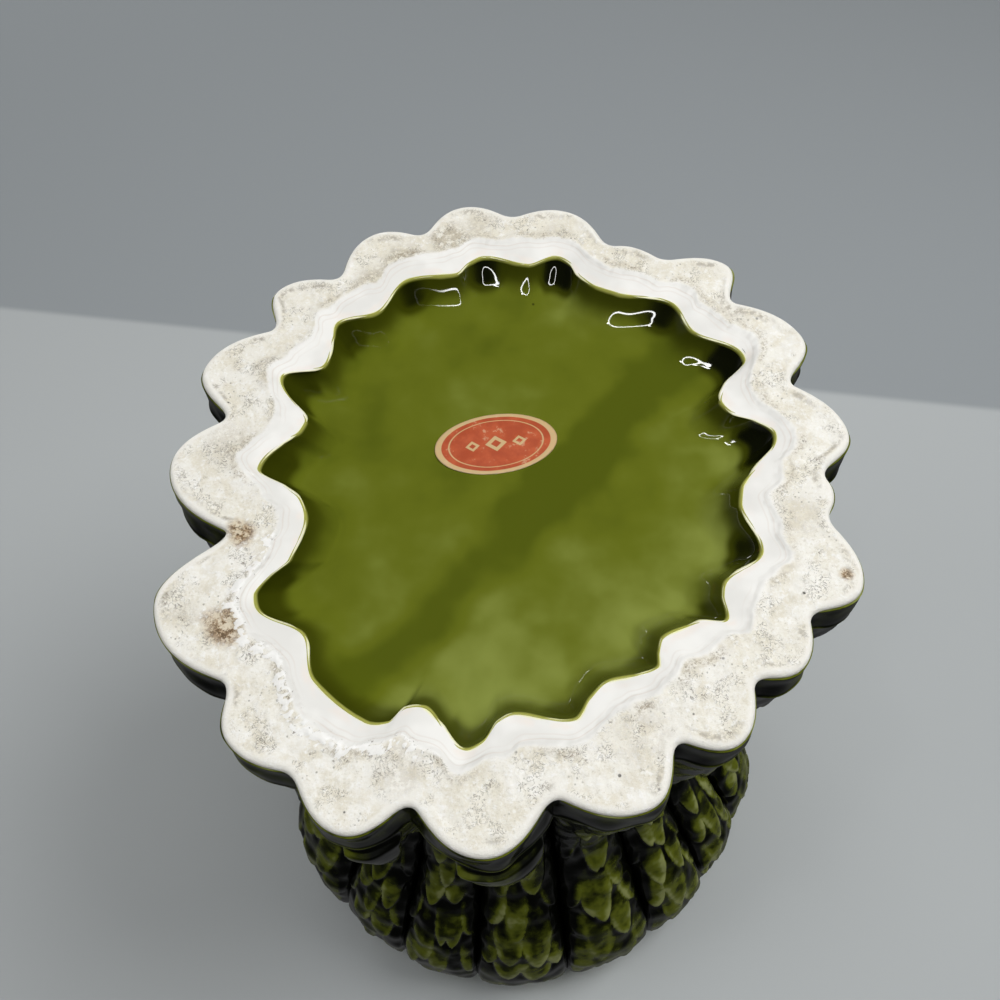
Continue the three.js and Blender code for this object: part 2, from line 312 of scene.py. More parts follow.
def ripple(x, y, z, wavelength, seed, count=28):
    """Smooth random field of about unit size: a sum of plane waves in random directions."""
    random = np.random.default_rng(seed)
    heading = random.normal(size=(count, 3))
    heading /= np.linalg.norm(heading, axis=1, keepdims=True)
    number = 2 * math.pi / (wavelength * random.uniform(0.7, 1.5, count))
    phase = random.uniform(0, 2 * math.pi, count)
    field = np.zeros(np.broadcast(x, y, z).shape)
    for (a, b, c), k, p in zip(heading, number, phase):
        field = field + np.cos(k * (a * x + b * y + c * z) + p)
    return field * math.sqrt(2 / count)


def uneven(kind, x, y):
    height, wavelength, seed = kind
    return height * ripple(x, y, 0, wavelength, seed)


def regularity(height):
    return smooth(height, IRREGULAR_TO, REGULAR_FROM)


def unevenness(height):
    return mix(1, EVENED_SHARE, regularity(height))


def angle_at(spear, across, height):
    """Angle in radians across a spear: the foot's shares turn and even out towards the tips."""
    rise = smooth(height, 0, TWISTED_BY)
    start = mix(START[spear], EVEN_START + EVEN_SHARE * spear, SPREAD_SHARE * rise)
    end_at_foot = START[spear] + SPAN[spear]
    end = mix(end_at_foot, EVEN_START + EVEN_SHARE * (spear + 1), SPREAD_SHARE * rise)
    return np.radians(mix(start, end, across) + TWIST * rise)


def backing(spear, across, height):
    """Radius of the wall that the spears stand on."""
    groove = mix(GROOVE[spear], NEXT_GROOVE[spear], across)
    return read(WALL_PROFILE, height) + unevenness(height) * (groove - GROOVE.mean())


def bulge(spear, across, height):
    """Arch across a spear, 0 in the grooves and 1 on the crest: one less a power of the side."""
    crest = mix(LEAN[spear], 0.5, regularity(height))
    side = np.where(across < crest, 1 - across / crest, (across - crest) / (1 - crest))
    fullness = mix(FOOT_FULLNESS, STALK_FULLNESS, regularity(height))
    return np.clip(1 - side**SPEAR_ROUNDNESS, 0, 1) ** fullness


def depth_of(spear, height):
    """How far a spear stands out from the line between its two grooves."""
    middle = (GROOVE[spear] + NEXT_GROOVE[spear]) / 2
    taller = CREST[spear] - CREST.mean() - (middle - GROOVE.mean())
    return read(SPEAR_DEPTH, height) + unevenness(height) * taller


def filled_out(spear, height):
    """How far the groove where a spear begins is filled, towards its lower neighbour's crest."""
    spear = spear % TOTAL
    before = (spear - 1) % TOTAL
    crest = backing(spear, 0.5, height) + depth_of(spear, height)
    crest_before = backing(before, 0.5, height) + depth_of(before, height)
    return read(GROOVE_FILL, height) * (np.minimum(crest, crest_before) - backing(spear, 0, height))


def outside(spear, across, height):
    """Radius of a spear's outer side: valley plus fill in the grooves, plus depth on the crest."""
    arch = bulge(spear, across, height)
    fill = mix(filled_out(spear, height), filled_out(spear + 1, height), across)
    return backing(spear, across, height) + GROOVE_WALL + mix(fill, depth_of(spear, height), arch)


def foot_place(angle):
    """Which spear an angle in degrees falls on at the foot, and how far across it."""
    turned = (np.asarray(angle) - FIRST_GROOVE_ANGLE) % 360
    spear = np.searchsorted(START - FIRST_GROOVE_ANGLE, turned, side="right") - 1
    return spear, (turned - (START[spear] - FIRST_GROOVE_ANGLE)) / SPAN[spear]


def averaged(points, angle, spread):
    """The wave averaged over a spread of degrees to both sides."""
    offsets = np.linspace(-spread, spread, 9)
    return np.mean([wave(points, angle + offset) for offset in offsets], axis=0)


def polar(radius, angle, height):
    return np.stack(
        np.broadcast_arrays(radius * np.cos(angle), radius * np.sin(angle), height), axis=-1
    )


# Meshes


def volume_of(points, triangles):
    a, b, c = (points[triangles[:, i]] for i in range(3))
    return np.einsum("ij,ij->", a, np.cross(b, c)) / 6


def closed_mesh(name, grid, poles=(), wrap_rows=False, attributes=None):
    """Object from rows of points in millimetres. Each row closes on itself.

    The rows either join up, last to first, or end in two poles given as points.
    Faces are turned outward by the sign of the volume.
    """
    rows, columns = grid.shape[:2]
    points = grid.reshape(-1, 3)
    index = np.arange(rows * columns).reshape(rows, columns)
    upper = np.roll(index, -1, axis=0) if wrap_rows else index[1:]
    lower = index if wrap_rows else index[:-1]
    quads = np.stack(
        [lower, np.roll(lower, -1, 1), np.roll(upper, -1, 1), upper], axis=-1
    ).reshape(-1, 4)
    triangles = np.zeros((0, 3), int)
    if len(poles):
        first, last = len(points), len(points) + 1
        points = np.concatenate([points, np.array(poles, float)])
        bottom, top = index[0], index[-1]
        fan = [np.stack([np.full(columns, first), np.roll(bottom, -1), bottom], -1)]
        fan.append(np.stack([np.full(columns, last), top, np.roll(top, -1)], -1))
        triangles = np.concatenate(fan)
    every = np.concatenate([quads[:, [0, 1, 2]], quads[:, [0, 2, 3]], triangles])
    if volume_of(points, every) < 0:
        quads, triangles = quads[:, ::-1], triangles[:, ::-1]
    mesh = bpy.data.meshes.new(name)
    mesh.from_pydata((points * MM).tolist(), [], quads.tolist() + triangles.tolist())
    mesh.shade_smooth()
    for key, values in (attributes or {}).items():
        layer = mesh.attributes.new(key, "FLOAT", "POINT")
        flat = np.broadcast_to(values, grid.shape[:2]).reshape(-1)
        ends = [flat[0], flat[-1]] if len(poles) else []
        layer.data.foreach_set("value", np.concatenate([flat, ends]).astype(np.float32))
    piece = bpy.data.objects.new(name, mesh)
    bpy.context.scene.collection.objects.link(piece)
    return piece


def fit(piece, material, slot, *nodes):
    """Gives a piece its finish and its place in the frame."""
    piece.data.materials.append(material)
    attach(piece, "root")
    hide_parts(*nodes)


# Node expressions


class Value:
    """A number, vector or colour socket that Python's operators work on."""

    def __init__(self, tree, socket):
        self.tree = tree
        self.socket = socket

    def _math(self, operation, *others):
        values = [self, *others]
        return self.tree.node("ShaderNodeMath", {"operation": operation}, dict(enumerate(values)))

    def __add__(self, other):
        return self._math("ADD", other)

    def __sub__(self, other):
        return self._math("SUBTRACT", other)

    def __mul__(self, other):
        return self._math("MULTIPLY", other)

    def __truediv__(self, other):
        return self._math("DIVIDE", other)

    def __rsub__(self, other):
        inputs = {0: other, 1: self}
        return self.tree.node("ShaderNodeMath", {"operation": "SUBTRACT"}, inputs)

    __radd__ = __add__

    def __pow__(self, other):
        return self._math("POWER", other)

    def __abs__(self):
        return self._math("ABSOLUTE")

    def max(self, other):
        return self._math("MAXIMUM", other)

    def min(self, other):
        return self._math("MINIMUM", other)

    def step(self, low, high):
        """Smooth step from 0 at low to 1 at high."""
        inputs = {"Value": self, "From Min": low, "From Max": high}
        settings = {"interpolation_type": "SMOOTHSTEP"}
        return self.tree.node("ShaderNodeMapRange", settings, inputs, "Result")

    def band(self, centre, width):
        """1 at centre, falling to 0 at width to either side."""
        return 1.0 - abs(self - centre).step(0.0, width)

    def split(self, axis):
        return self.tree.node("ShaderNodeSeparateXYZ", {}, {0: self}, axis)


class Tree:
    """Builds the nodes of one material, or of the world."""

    def __init__(self, name, world=None):
        self.material = world or bpy.data.materials.new(name)
        self.material.use_nodes = True
        self.nodes = self.material.node_tree.nodes
        self.links = self.material.node_tree.links
        self.nodes.clear()
        self.place = self.node("ShaderNodeTexCoord", {}, {}, "Object")

    def node(self, kind, settings=None, inputs=None, output=0):
        """Adds a node: settings first, then values or links of its sockets."""
        made = self.nodes.new(kind)
        for key, value in (settings or {}).items():
            setattr(made, key, value)
        for key, value in (inputs or {}).items():
            if isinstance(value, Value):
                self.links.new(value.socket, made.inputs[key])
            else:
                made.inputs[key].default_value = value
        return Value(self, made.outputs[output])

    def attribute(self, name):
        return self.node("ShaderNodeAttribute", {"attribute_name": name}, {}, "Fac")

    def part(self, axis):
        """One coordinate of the place on the object, in millimetres."""
        return self.place.split(axis) / MM

    def noise(self, size, detail=2.0, roughness=0.5, distortion=0.0, place=None):
        """Noise from 0 to 1 whose blotches are about size millimetres wide."""
        inputs = {
            "Vector": place or self.place, "Scale": 1 / (size * MM), "Detail": detail,
            "Roughness": roughness, "Distortion": distortion,
        }
        return self.node("ShaderNodeTexNoise", {}, inputs, "Fac")

    def cells(self, size):
        """Distance to the nearest of points about size millimetres apart, in sizes."""
        inputs = {"Vector": self.place, "Scale": 1 / (size * MM)}
        return self.node("ShaderNodeTexVoronoi", {}, inputs, "Distance")

    def colour(self, first, second, share):
        """Colour mixed from first to second by share."""
        first, second = (self._rgba(one) for one in (first, second))
        settings = {"data_type": "RGBA", "clamp_factor": True}
        return self.node("ShaderNodeMix", settings, {0: share, 6: first, 7: second}, 2)

    @staticmethod
    def _rgba(colour):
        return colour if isinstance(colour, Value) else (*colour, 1.0)

    def bump(self, height, distance, strength=1.0, normal=None):
        """Normal from a height field that stands distance millimetres high."""
        inputs = {"Height": height, "Distance": distance * MM, "Strength": strength}
        if normal is not None:
            inputs["Normal"] = normal
        return self.node("ShaderNodeBump", {}, inputs, "Normal")

    def surface(self, colour, roughness, normal, **constants):
        """Finishes the material with one Principled shader."""
        inputs = {"Base Color": colour, "Roughness": roughness, "Normal": normal}
        inputs.update({key.replace("_", " "): value for key, value in constants.items()})
        shader = self.node("ShaderNodeBsdfPrincipled", {}, inputs, "BSDF")
        self.finish(shader)
        return self.material

    def finish(self, shader):
        is_world = isinstance(self.material, bpy.types.World)
        output = self.nodes.new("ShaderNodeOutputWorld" if is_world else "ShaderNodeOutputMaterial")
        self.links.new(shader.socket, output.inputs["Surface"])


# Finishes

GLAZE_IOR = 1.45
CLAY_IOR = 1.45

# Marks on the bare foot: place, reach and strength
RUST_MARKS = [(49.1, -27.1, 5.0, 0.9), (47.8, -9.5, 3.4, 1.0), (-57.8, -23.8, 1.6, 0.9)]
GRIME_MARKS = [
    (8.8, 58.1, 6.5, 0.9), (18.4, 52.6, 6.5, 0.9), (24.5, 48.0, 5.5, 0.7), (2.3, 61.1, 5.0, 0.5),
    (-14.0, 57.5, 6.0, 0.35), (-46.0, 33.0, 6.0, 0.35), (51.0, 9.0, 7.0, 0.45),
    (56.5, -25.0, 3.5, 0.5), (19.1, -53.0, 6.0, 0.4), (-20.0, -50.0, 8.0, 0.3),
    (44.0, 26.0, 6.0, 0.4), (-52.0, -12.0, 6.0, 0.35),
]
# Painted reflection of something dark, a band across the recess floor: a point on it and its
# direction sideways
DARK_REFLECTION_PLACE = (-18.9, 10.3)
DARK_REFLECTION_SIDE = (0.725, 0.689)


def marks(tree, spots, ragged):
    """How strongly a place is marked: the strongest of some round blots with ragged edges."""
    total = None
    x, y = tree.part("X"), tree.part("Y")
    for left, forward, reach, strength in spots:
        away = ((x - left) ** 2.0 + (y - forward) ** 2.0) ** 0.5
        blot = (1.0 - (away / reach + ragged).step(0.35, 1.0)) * strength
        total = blot if total is None else total.max(blot)
    return total


def bisque_finish(colours):
    """Bare clay: chalky and speckled outside the ridge, smooth and whiter on the bevel, with
    painted shade towards the far side and round the crust's lumps.
    """
    tree = Tree("bisque")
    from_edge = tree.attribute("from_edge")
    from_ridge = tree.attribute("from_ridge")
    from_glaze = tree.attribute("from_glaze")
    crust = tree.attribute("crust")
    grain = tree.noise(0.5, 4.0, 0.8)
    fine = tree.noise(1.2, 5.0, 0.75)
    patch = tree.noise(4.5, 4.0, 0.62)
    cloud = tree.noise(15.0, 3.0, 0.6)
    ragged = (fine - 0.5) * 1.6 + (patch - 0.5) * 1.4
    rough = (from_ridge + ragged).step(-0.5, 0.5)
    worn = rough * (from_edge + ragged).step(0.6, 1.8)

    chalk = tuple(colours.bisque)
    smoothed = tree.colour((0.80, 0.79, 0.755), (0.72, 0.71, 0.675), cloud.step(0.42, 0.6))

    def add(colour, share):
        nonlocal chalk
        chalk = tree.colour(chalk, colour, share)

    # Cream tint in random patches, plus painted shade: the rough band darker and yellower towards
    # the far side (+Y).
    yellowed_and_far_shade = cloud.step(0.46, 0.64) * worn * 0.5 + tree.part("Y").step(10.0, 50.0) * worn * 0.35
    hollows = (1.0 - grain.step(0.34, 0.46)) * worn * cloud.step(0.36, 0.56)
    add((0.70, 0.655, 0.54), patch.step(0.44, 0.64) * worn * 0.85)
    add((0.74, 0.70, 0.58), yellowed_and_far_shade)
    add((0.89, 0.885, 0.86), fine.step(0.5, 0.66) * 0.7)
    add((0.55, 0.51, 0.42), hollows * 0.65)
    add((0.90, 0.895, 0.87), grain.step(0.52, 0.66) * worn * 0.5)
    chalk = tree.colour(smoothed, chalk, rough)

    grime = marks(tree, GRIME_MARKS, ragged * 0.4) * worn
    rust = marks(tree, RUST_MARKS, ragged * 0.8) * rough
    add((0.44, 0.38, 0.27), grime * fine.step(0.42, 0.56) * 0.85)
    add((0.20, 0.17, 0.12), grime * grain.step(0.54, 0.64) * 0.6)
    add((0.60, 0.49, 0.32), rust * 0.65)
    add((0.29, 0.17, 0.07), rust * fine.step(0.42, 0.54) * 0.9)
    add((0.09, 0.05, 0.02), rust * (fine + grain * 0.5).step(0.74, 0.84) * 0.95)

    crowd = tree.noise(6.0, 3.0, 0.6).step(0.5, 0.64)
    flecks = (1.0 - (tree.cells(0.9) + (grain - 0.5) * 0.4).step(0.1, 0.26)) * crowd
    add((0.26, 0.24, 0.19), flecks * worn * 0.75)
    cracks = tree.noise(1.3, 3.0, 0.6, 1.5).band(0.5, 0.035) * tree.noise(5.0).step(0.5, 0.6)
    add((0.18, 0.155, 0.115), cracks * worn * 0.85)
    along_edge = (from_edge + ragged * 0.8).band(2.2, 1.3) * tree.noise(8.0, 1.0).step(0.5, 0.62)
    add((0.33, 0.29, 0.22), along_edge * fine.step(0.44, 0.56) * rough * 0.7)
    along_ridge = (from_ridge + ragged * 0.7).band(1.2, 1.5) * tree.noise(6.0).step(0.45, 0.6)
    add((0.36, 0.30, 0.21), along_ridge * grain.step(0.46, 0.58) * 0.75)
    pits = (1.0 - tree.cells(3.6).step(0.05, 0.1)) * worn * tree.noise(9.0).step(0.42, 0.58)
    add((0.05, 0.045, 0.035), pits)

    crumbs = (crust * 1.3 + (fine - 0.5) * 1.5 + (grain - 0.5) * 1.1).step(0.3, 0.6)
    granules = crumbs * crust.step(0.05, 0.3)
    add((0.87, 0.865, 0.84), granules * 0.85)
    # Painted shade: dark specks round the edges of the crust's raised lumps.
    crust_edge_shade = crust.band(0.3, 0.3) * grain.step(0.52, 0.6) * fine.step(0.48, 0.56)
    add((0.16, 0.13, 0.09), crust_edge_shade * 0.9)

    drift = from_ridge + (tree.noise(6.0, 1.0) - 0.5) * 1.6
    contour = drift.band(-1.1, 0.22).max(drift.band(-2.1, 0.28) * 0.6)
    contour = contour * tree.noise(9.0, 1.0).step(0.3, 0.55)
    add((0.62, 0.54, 0.47), contour * (1.0 - rough) * 0.45)
    add((0.80, 0.70, 0.62), from_glaze.band(1.1, 1.4) * tree.noise(4.0).step(0.45, 0.65) * 0.4)
    add((0.80, 0.80, 0.36), (from_glaze + (fine - 0.5) * 0.6).band(0.0, 0.6) * 0.85)
    glazed = tree.part("Z").step(0.95, 1.25) * (1.0 - from_edge.step(1.2, 1.6))
    add((0.03, 0.035, 0.004), glazed)

    relief = tree.bump(grain + fine, 0.2, rough * 0.8 + 0.02)
    relief = tree.bump(contour, 0.03, 0.3, relief)
    relief = tree.bump(flecks, 0.1, rough * -0.5, relief)
    roughness = 0.55 + rough * 0.35 - granules * 0.3
    return tree.surface(chalk, roughness, relief, IOR=CLAY_IOR)


def glaze_colour(tree, colours, thickness):
    """Glaze colour by thickness: 0 where it has run off an edge, 1 where it has pooled."""
    body = tree.colour(tuple(colours.thin), tuple(colours.glaze), thickness.step(0.0, 0.35))
    return tree.colour(body, tuple(colours.pooled), thickness.step(0.3, 0.95))


def recess_finish(colours):
    """Glaze of the recess: mottled floor with a painted dark reflection across it, dark pools in
    the lobes, a thin yellow edge.
    """
    tree = Tree("recess_glaze")
    pool = tree.attribute("pool")
    glow = tree.attribute("glow")
    from_line = tree.attribute("from_line")
    x, y = tree.part("X"), tree.part("Y")
    blotch = tree.noise(17.0, 2.0, 0.5)
    small = tree.noise(6.0, 2.0, 0.5)
    left, forward = DARK_REFLECTION_PLACE
    away = abs((x - left) * DARK_REFLECTION_SIDE[0] + (y - forward) * DARK_REFLECTION_SIDE[1])
    # Painted reflection: a dark band across the floor.
    band = 1.0 - (away + (blotch - 0.5) * 7.0).step(1.0, 8.5)
    light = 0.42 + (blotch - 0.5) + (small - 0.5) * 0.4 - band * 0.5 + glow * 0.1
    # Lighter towards the near side (-Y) and towards -X, darker towards +X.
    light = light + (0.0 - y - x * 0.35).step(0.0, 45.0) * 0.4 - x.step(0.0, 40.0) * 0.14
    floor = tree.colour((0.076, 0.093, 0.006), tuple(colours.glaze), light.step(0.05, 0.45))
    floor = tree.colour(floor, (0.21, 0.245, 0.05), light.step(0.4, 1.05))
    border = 1.0 - (from_line + (small - 0.5) * 2.0).step(1.0, 5.0)
    floor = tree.colour(floor, (0.045, 0.052, 0.003), border * 0.8)
    floor = tree.colour(floor, (0.037, 0.043, 0.002), pool.step(0.02, 0.6))
    floor = tree.colour(floor, tuple(colours.pooled), pool.step(0.62, 1.0))
    edge = (from_line + (small - 0.5) * 0.5).band(0.0, 0.42)
    floor = tree.colour(floor, (0.50, 0.50, 0.12), edge * 0.7)
    holes = (1.0 - tree.cells(11.0).step(0.018, 0.036)) * from_line.step(5.0, 7.0)
    floor = tree.colour(floor, (0.01, 0.012, 0.003), holes)
    relief = tree.bump(tree.noise(4.0, 1.0, 0.4), 0.06, 0.5)
    relief = tree.bump(tree.noise(0.5, 2.0, 0.5), 0.01, 0.25, relief)
    wall = 1.0 - from_line.step(6.0, 12.0)
    gloss = 1.0 - x.step(8.0, 14.0) * wall * 0.98
    coat = {"Coat_Weight": gloss, "Coat_Roughness": 0.04, "Coat_IOR": GLAZE_IOR}
    return tree.surface(
        floor, 0.4 + small * 0.1, relief, IOR=GLAZE_IOR, Specular_IOR_Level=0.0, **coat
    )


def spear_finish(colours):
    """Glaze of the spears: thin on raised edges, pooled in grooves and under the scales, with
    painted shade near the foot, under the scale ends and on the +X side of the tips, and a painted
    highlight along the knee.
    """
    tree = Tree("spear_glaze")
    # The thickness attribute also carries painted shade and a painted highlight.
    thickness = tree.attribute("thickness")
    veins = tree.attribute("veins")
    blotch = tree.noise(9.0, 3.0, 0.55)
    fine = tree.noise(1.6, 3.0, 0.6)
    patch = tree.noise(3.4, 2.0, 0.5)
    level = thickness + (blotch - 0.5) * 1.5 + (patch - 0.5) * 0.7 + (fine - 0.5) * 0.12
    # Painted shade: the tips darker towards +X, the side away from the key lamp, from 60 mm up.
    level = level + tree.part("X").step(-15.0, 45.0) * tree.part("Z").step(60.0, 100.0) * 0.16
    colour = tree.colour((0.34, 0.37, 0.13), (0.145, 0.17, 0.014), level.step(-0.2, 0.2))
    colour = tree.colour(colour, (0.03, 0.037, 0.002), level.step(0.18, 0.56))
    colour = tree.colour(colour, (0.0012, 0.0016, 0.0003), level.step(0.46, 0.84))
    relief = tree.bump(tree.noise(2.6, 2.0, 0.5), 0.14, 0.5)
    relief = tree.bump(veins, 0.05, 0.2, relief)
    roughness = 0.1 + fine * 0.1
    return tree.surface(colour, roughness, relief, IOR=GLAZE_IOR)


def inside_finish(colours):
    """Glaze inside the vase: streaks that ran down the wall, darker below."""
    tree = Tree("inside_glaze")
    x, y, z = tree.part("X"), tree.part("Y"), tree.part("Z")
    joined = {"X": x * MM, "Y": y * MM, "Z": z * (MM * 0.12)}
    streak_place = tree.node("ShaderNodeCombineXYZ", {}, joined, "Vector")
    streaks = tree.noise(6.0, 3.0, 0.6, place=streak_place)
    thickness = 0.62 - z.step(150.0, 178.0) * 0.4 + (streaks - 0.5) * 0.5
    colour = glaze_colour(tree, colours, thickness)
    relief = tree.bump(tree.noise(5.0, 2.0, 0.5), 0.15, 0.5)
    return tree.surface(colour, 0.1 + streaks * 0.08, relief, IOR=GLAZE_IOR)


def label_finish(sizes, colours):
    """Printed paper: cream border, thin inner line and a row of three lozenges."""
    tree = Tree("label_paper")
    turn = math.radians(LABEL_TURN)
    x = tree.part("X") - LABEL_CENTRE[0]
    y = tree.part("Y") - LABEL_CENTRE[1]
    along = x * math.cos(turn) + y * math.sin(turn)
    over = y * math.cos(turn) - x * math.sin(turn)
    half_length = sizes.label_length / MM / 2
    half_width = sizes.label_width / MM / 2
    reach = ((along / half_length) ** 2.0 + (over / half_width) ** 2.0) ** 0.5
    wear = tree.noise(0.8, 3.0, 0.6)
    scuff = tree.noise(3.0, 3.0, 0.6)
    print_mask = reach.step(0.885, 0.9)
    print_mask = print_mask.max(reach.band(0.77, 0.022))
    for centre, size in ((-4.6, 1.0), (0.0, 1.5), (4.6, 1.0)):
        lozenge = abs(along - centre) / (1.5 * size) + abs(over) / (1.25 * size)
        print_mask = print_mask.max(1.0 - lozenge.step(0.9, 1.0))
        print_mask = print_mask.min(lozenge.step(0.42, 0.5).max(reach.step(0.8, 0.9)))
    ground = tree.colour(tuple(colours.paper), (0.46, 0.085, 0.025), scuff.step(0.35, 0.7))
    ink = tree.colour(tuple(colours.border), (0.50, 0.40, 0.22), wear.step(0.4, 0.7) * 0.6)
    paper = tree.colour(ground, ink, print_mask * 0.92)
    flaws = (scuff * wear).step(0.33, 0.42)
    paper = tree.colour(paper, (0.58, 0.40, 0.24), flaws * 0.5)
    paper = tree.colour(paper, (0.22, 0.14, 0.07), reach.step(0.975, 1.0) * wear * 0.8)
    relief = tree.bump(tree.noise(0.35, 2.0, 0.6), 0.02, 0.5)
    relief = tree.bump(scuff, 0.05, 0.4, relief)
    return tree.surface(paper, 0.42 + wear * 0.18, relief, IOR=CLAY_IOR)


def one_sided(name, colour, far_colour=None):
    """Matt stage surface that shows from its front only."""
    tree = Tree(name)
    shade = tuple(colour)
    if far_colour is not None:
        away = (tree.part("Y") - tree.part("X") * WALL_SLANT).step(WALL_LINE - 2, WALL_LINE + 2)
        shade = tree.colour(shade, tuple(far_colour), away)
    else:
        shade = (*shade, 1.0)
    matt = tree.node("ShaderNodeBsdfDiffuse", {}, {"Color": shade})
    clear = tree.node("ShaderNodeBsdfTransparent")
    behind = tree.node("ShaderNodeNewGeometry", {}, {}, "Backfacing")
    tree.finish(tree.node("ShaderNodeMixShader", {}, {0: behind, 1: matt, 2: clear}))
    return tree.material


# Pieces


class VASE_OT_foot_ring(bpy.types.Operator):
    """Bare foot ring: a lobed band with a rounded edge, a wavy ridge and a bevel inside it."""

    bl_idname = "vase.foot_ring"
    bl_label = "Foot ring"

    def execute(self, context):
        angle = np.linspace(0, 360, FOOT_POINTS, endpoint=False)
        turn = np.radians(angle)
        spread = np.linspace(-NOTCH_ROUND, NOTCH_ROUND, 7)
        edge = np.mean([outside(*foot_place(angle + one), 0.0) for one in spread], axis=0)
        glaze = wave(GLAZE_LINE, angle)
        ridge = averaged(GLAZE_LINE, angle, RIDGE_SPREAD) + RIDGE_OFFSET
        ridge = ridge + uneven(RIDGE_WANDER, edge * np.cos(turn), edge * np.sin(turn))
        outline = polar(edge, turn, 0.0)
        along = np.roll(outline, -1, 0) - np.roll(outline, 1, 0)
        inward = np.stack([-along[:, 1], along[:, 0], along[:, 2]], -1)
        inward /= np.linalg.norm(inward, axis=1, keepdims=True)

        rows, from_edge, from_ridge, from_glaze = [], [], [], []

        def add(points, height):
            radius = np.hypot(points[:, 0], points[:, 1])
            rows.append(np.column_stack([points[:, :2], np.broadcast_to(height, radius.shape)]))
            from_edge.append(edge - radius)
            from_ridge.append(radius - ridge)
            from_glaze.append(radius - glaze)

        add(outline + inward * 0.5, FLANGE_TOP)
        add(outline + inward * 0.12, RIM_ROUND + 0.2)
        for t in np.linspace(0, math.pi / 2, 9):
            inset = RIM_INSET + RIM_ROUND * (1 - math.cos(t))
            add(outline + inward * inset, RIM_HEIGHT + RIM_ROUND * 0.9 * (1 - math.sin(t)))
        rim = rows[-1][:, :2]
        rim_radius = np.hypot(rim[:, 0], rim[:, 1])
        rim_turn = np.arctan2(rim[:, 1], rim[:, 0])
        for share in np.linspace(0, 1, 25)[1:]:
            points = polar(mix(rim_radius, ridge + 0.5, share), rim_turn, 0.0)
            lump = uneven(BAND_LUMPS, points[:, 0], points[:, 1])
            lump = lump + uneven(BAND_GRIT, points[:, 0], points[:, 1])
            lift = BAND_LIFT * smooth(share, 0, 0.3) * (1 - 0.6 * smooth(share, 0.8, 1))
            add(points, np.maximum(RIM_HEIGHT + lift + lump * smooth(share, 0, 0.15), LOWEST))
        for away, height in RIDGE_ROWS:
            points = polar(ridge + away, rim_turn, 0.0)
            lump = uneven(RIDGE_GRIT, points[:, 0], points[:, 1])
            add(points, np.maximum(height + lump, LOWEST))
        for share in np.linspace(0, 1, 15)[1:]:
            points = polar(mix(ridge - 1.2, glaze, share), rim_turn, 0.0)
            lump = uneven(BEVEL_LUMPS, points[:, 0], points[:, 1])
            add(points, mix(BEVEL_START, BEVEL_END, share) + lump * (1 - share))
        for inset, height in TUCKED_ROWS:
            add(polar(glaze - inset, turn, 0.0), height)
        grid = np.array(rows)
        from_ridge = np.array(from_ridge)

        thick_side = np.degrees(np.arctan2(grid[..., 1], grid[..., 0])) % 360
        begins, full, fades, ends = CRUST_ARC
        presence = smooth(thick_side, begins, full) * (1 - smooth(thick_side, fades, ends))
        bits = uneven(CRUST_BITS, grid[..., 0], grid[..., 1])
        bits = bits + uneven(CRUST_CRUMBS, grid[..., 0], grid[..., 1])
        near = np.exp(-(((from_ridge - CRUST_FROM_RIDGE) / CRUST_WIDTH) ** 2))
        crust = (presence + CRUST_ELSEWHERE) * smooth(bits, -0.3, 0.8) * near
        crust = crust * (grid[..., 2] < BEVEL_END)
        grid[..., 2] = np.maximum(grid[..., 2] - CRUST_HEIGHT * crust, 0.02)
        attributes = {
            "from_edge": np.array(from_edge), "from_ridge": from_ridge,
            "from_glaze": np.array(from_glaze), "crust": crust,
        }
        ring = closed_mesh("foot_ring_bisque", grid, wrap_rows=True, attributes=attributes)
        fit(ring, bisque_finish(context.scene.vase_colours), "bisque", "foot_ring")
        return {"FINISHED"}


